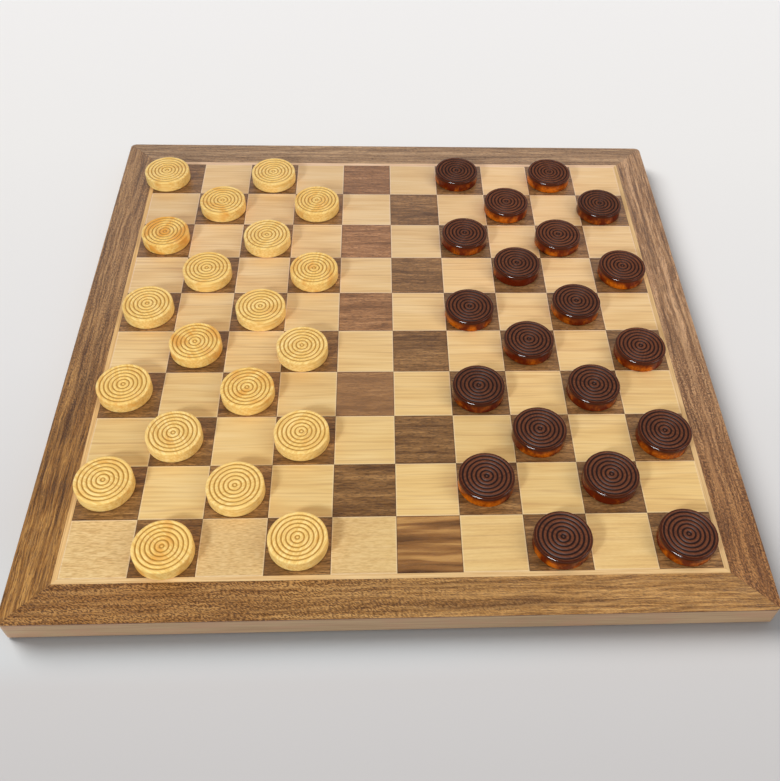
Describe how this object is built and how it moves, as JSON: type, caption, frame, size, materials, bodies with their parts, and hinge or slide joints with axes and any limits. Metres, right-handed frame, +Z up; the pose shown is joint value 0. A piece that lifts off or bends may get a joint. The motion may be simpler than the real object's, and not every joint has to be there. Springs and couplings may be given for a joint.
{
  "type": "draughts board with men",
  "caption": "Square inlaid wooden draughts board with a mitred border, set out with turned light and dark round men that lift off.",
  "frame": {"origin": "middle of the board's underside", "axes": "+Z up out of the playing surface, +Y away from the viewer of the picture, +X from the light men's side to the dark men's side"},
  "size_m": [0.4, 0.4, 0.0247],
  "materials": {
    "core": "bare fine-grained panel, hidden inside",
    "backing": "satin walnut veneer",
    "lipping": "satin greyish pink-brown solid lipping",
    "walnut_border": "satin walnut veneer with dark pores",
    "maple_stringing": "satin maple stringing",
    "walnut_square": "satin walnut veneer",
    "maple_square": "satin maple veneer",
    "light_man": "satin clear lacquer on turned boxwood",
    "dark_man": "gloss lacquer on dark stained turned wood"
  },
  "bodies": {
    "board": {"core_panel": "core", "backing_veneer": "backing", "lipping_front": "lipping", "lipping_right": "lipping", "lipping_back": "lipping", "lipping_left": "lipping", "border_front": "walnut_border", "border_right": "walnut_border", "border_back": "walnut_border", "border_left": "walnut_border", "stringing_front": "maple_stringing", "stringing_right": "maple_stringing", "stringing_back": "maple_stringing", "stringing_left": "maple_stringing", "walnut_squares": "walnut_square", "maple_squares": "maple_square"},
    "light_man_01": {"light_man_01": "light_man"},
    "light_man_02": {"light_man_02": "light_man"},
    "light_man_03": {"light_man_03": "light_man"},
    "light_man_04": {"light_man_04": "light_man"},
    "light_man_05": {"light_man_05": "light_man"},
    "light_man_06": {"light_man_06": "light_man"},
    "light_man_07": {"light_man_07": "light_man"},
    "light_man_08": {"light_man_08": "light_man"},
    "light_man_09": {"light_man_09": "light_man"},
    "light_man_10": {"light_man_10": "light_man"},
    "light_man_11": {"light_man_11": "light_man"},
    "light_man_12": {"light_man_12": "light_man"},
    "light_man_13": {"light_man_13": "light_man"},
    "light_man_14": {"light_man_14": "light_man"},
    "light_man_15": {"light_man_15": "light_man"},
    "light_man_16": {"light_man_16": "light_man"},
    "light_man_17": {"light_man_17": "light_man"},
    "light_man_18": {"light_man_18": "light_man"},
    "light_man_19": {"light_man_19": "light_man"},
    "light_man_20": {"light_man_20": "light_man"},
    "dark_man_01": {"dark_man_01": "dark_man"},
    "dark_man_02": {"dark_man_02": "dark_man"},
    "dark_man_03": {"dark_man_03": "dark_man"},
    "dark_man_04": {"dark_man_04": "dark_man"},
    "dark_man_05": {"dark_man_05": "dark_man"},
    "dark_man_06": {"dark_man_06": "dark_man"},
    "dark_man_07": {"dark_man_07": "dark_man"},
    "dark_man_08": {"dark_man_08": "dark_man"},
    "dark_man_09": {"dark_man_09": "dark_man"},
    "dark_man_10": {"dark_man_10": "dark_man"},
    "dark_man_11": {"dark_man_11": "dark_man"},
    "dark_man_12": {"dark_man_12": "dark_man"},
    "dark_man_13": {"dark_man_13": "dark_man"},
    "dark_man_14": {"dark_man_14": "dark_man"},
    "dark_man_15": {"dark_man_15": "dark_man"},
    "dark_man_16": {"dark_man_16": "dark_man"},
    "dark_man_17": {"dark_man_17": "dark_man"},
    "dark_man_18": {"dark_man_18": "dark_man"},
    "dark_man_19": {"dark_man_19": "dark_man"},
    "dark_man_20": {"dark_man_20": "dark_man"}
  },
  "joints": [
    {"name": "light_man_01_lift", "type": "slide", "parent": "board", "child": "light_man_01", "axis": [0, 0, 1], "range_m": [0, 0.05]},
    {"name": "light_man_02_lift", "type": "slide", "parent": "board", "child": "light_man_02", "axis": [0, 0, 1], "range_m": [0, 0.05]},
    {"name": "light_man_03_lift", "type": "slide", "parent": "board", "child": "light_man_03", "axis": [0, 0, 1], "range_m": [0, 0.05]},
    {"name": "light_man_04_lift", "type": "slide", "parent": "board", "child": "light_man_04", "axis": [0, 0, 1], "range_m": [0, 0.05]},
    {"name": "light_man_05_lift", "type": "slide", "parent": "board", "child": "light_man_05", "axis": [0, 0, 1], "range_m": [0, 0.05]},
    {"name": "light_man_06_lift", "type": "slide", "parent": "board", "child": "light_man_06", "axis": [0, 0, 1], "range_m": [0, 0.05]},
    {"name": "light_man_07_lift", "type": "slide", "parent": "board", "child": "light_man_07", "axis": [0, 0, 1], "range_m": [0, 0.05]},
    {"name": "light_man_08_lift", "type": "slide", "parent": "board", "child": "light_man_08", "axis": [0, 0, 1], "range_m": [0, 0.05]},
    {"name": "light_man_09_lift", "type": "slide", "parent": "board", "child": "light_man_09", "axis": [0, 0, 1], "range_m": [0, 0.05]},
    {"name": "light_man_10_lift", "type": "slide", "parent": "board", "child": "light_man_10", "axis": [0, 0, 1], "range_m": [0, 0.05]},
    {"name": "light_man_11_lift", "type": "slide", "parent": "board", "child": "light_man_11", "axis": [0, 0, 1], "range_m": [0, 0.05]},
    {"name": "light_man_12_lift", "type": "slide", "parent": "board", "child": "light_man_12", "axis": [0, 0, 1], "range_m": [0, 0.05]},
    {"name": "light_man_13_lift", "type": "slide", "parent": "board", "child": "light_man_13", "axis": [0, 0, 1], "range_m": [0, 0.05]},
    {"name": "light_man_14_lift", "type": "slide", "parent": "board", "child": "light_man_14", "axis": [0, 0, 1], "range_m": [0, 0.05]},
    {"name": "light_man_15_lift", "type": "slide", "parent": "board", "child": "light_man_15", "axis": [0, 0, 1], "range_m": [0, 0.05]},
    {"name": "light_man_16_lift", "type": "slide", "parent": "board", "child": "light_man_16", "axis": [0, 0, 1], "range_m": [0, 0.05]},
    {"name": "light_man_17_lift", "type": "slide", "parent": "board", "child": "light_man_17", "axis": [0, 0, 1], "range_m": [0, 0.05]},
    {"name": "light_man_18_lift", "type": "slide", "parent": "board", "child": "light_man_18", "axis": [0, 0, 1], "range_m": [0, 0.05]},
    {"name": "light_man_19_lift", "type": "slide", "parent": "board", "child": "light_man_19", "axis": [0, 0, 1], "range_m": [0, 0.05]},
    {"name": "light_man_20_lift", "type": "slide", "parent": "board", "child": "light_man_20", "axis": [0, 0, 1], "range_m": [0, 0.05]},
    {"name": "dark_man_01_lift", "type": "slide", "parent": "board", "child": "dark_man_01", "axis": [0, 0, 1], "range_m": [0, 0.05]},
    {"name": "dark_man_02_lift", "type": "slide", "parent": "board", "child": "dark_man_02", "axis": [0, 0, 1], "range_m": [0, 0.05]},
    {"name": "dark_man_03_lift", "type": "slide", "parent": "board", "child": "dark_man_03", "axis": [0, 0, 1], "range_m": [0, 0.05]},
    {"name": "dark_man_04_lift", "type": "slide", "parent": "board", "child": "dark_man_04", "axis": [0, 0, 1], "range_m": [0, 0.05]},
    {"name": "dark_man_05_lift", "type": "slide", "parent": "board", "child": "dark_man_05", "axis": [0, 0, 1], "range_m": [0, 0.05]},
    {"name": "dark_man_06_lift", "type": "slide", "parent": "board", "child": "dark_man_06", "axis": [0, 0, 1], "range_m": [0, 0.05]},
    {"name": "dark_man_07_lift", "type": "slide", "parent": "board", "child": "dark_man_07", "axis": [0, 0, 1], "range_m": [0, 0.05]},
    {"name": "dark_man_08_lift", "type": "slide", "parent": "board", "child": "dark_man_08", "axis": [0, 0, 1], "range_m": [0, 0.05]},
    {"name": "dark_man_09_lift", "type": "slide", "parent": "board", "child": "dark_man_09", "axis": [0, 0, 1], "range_m": [0, 0.05]},
    {"name": "dark_man_10_lift", "type": "slide", "parent": "board", "child": "dark_man_10", "axis": [0, 0, 1], "range_m": [0, 0.05]},
    {"name": "dark_man_11_lift", "type": "slide", "parent": "board", "child": "dark_man_11", "axis": [0, 0, 1], "range_m": [0, 0.05]},
    {"name": "dark_man_12_lift", "type": "slide", "parent": "board", "child": "dark_man_12", "axis": [0, 0, 1], "range_m": [0, 0.05]},
    {"name": "dark_man_13_lift", "type": "slide", "parent": "board", "child": "dark_man_13", "axis": [0, 0, 1], "range_m": [0, 0.05]},
    {"name": "dark_man_14_lift", "type": "slide", "parent": "board", "child": "dark_man_14", "axis": [0, 0, 1], "range_m": [0, 0.05]},
    {"name": "dark_man_15_lift", "type": "slide", "parent": "board", "child": "dark_man_15", "axis": [0, 0, 1], "range_m": [0, 0.05]},
    {"name": "dark_man_16_lift", "type": "slide", "parent": "board", "child": "dark_man_16", "axis": [0, 0, 1], "range_m": [0, 0.05]},
    {"name": "dark_man_17_lift", "type": "slide", "parent": "board", "child": "dark_man_17", "axis": [0, 0, 1], "range_m": [0, 0.05]},
    {"name": "dark_man_18_lift", "type": "slide", "parent": "board", "child": "dark_man_18", "axis": [0, 0, 1], "range_m": [0, 0.05]},
    {"name": "dark_man_19_lift", "type": "slide", "parent": "board", "child": "dark_man_19", "axis": [0, 0, 1], "range_m": [0, 0.05]},
    {"name": "dark_man_20_lift", "type": "slide", "parent": "board", "child": "dark_man_20", "axis": [0, 0, 1], "range_m": [0, 0.05]}
  ]
}
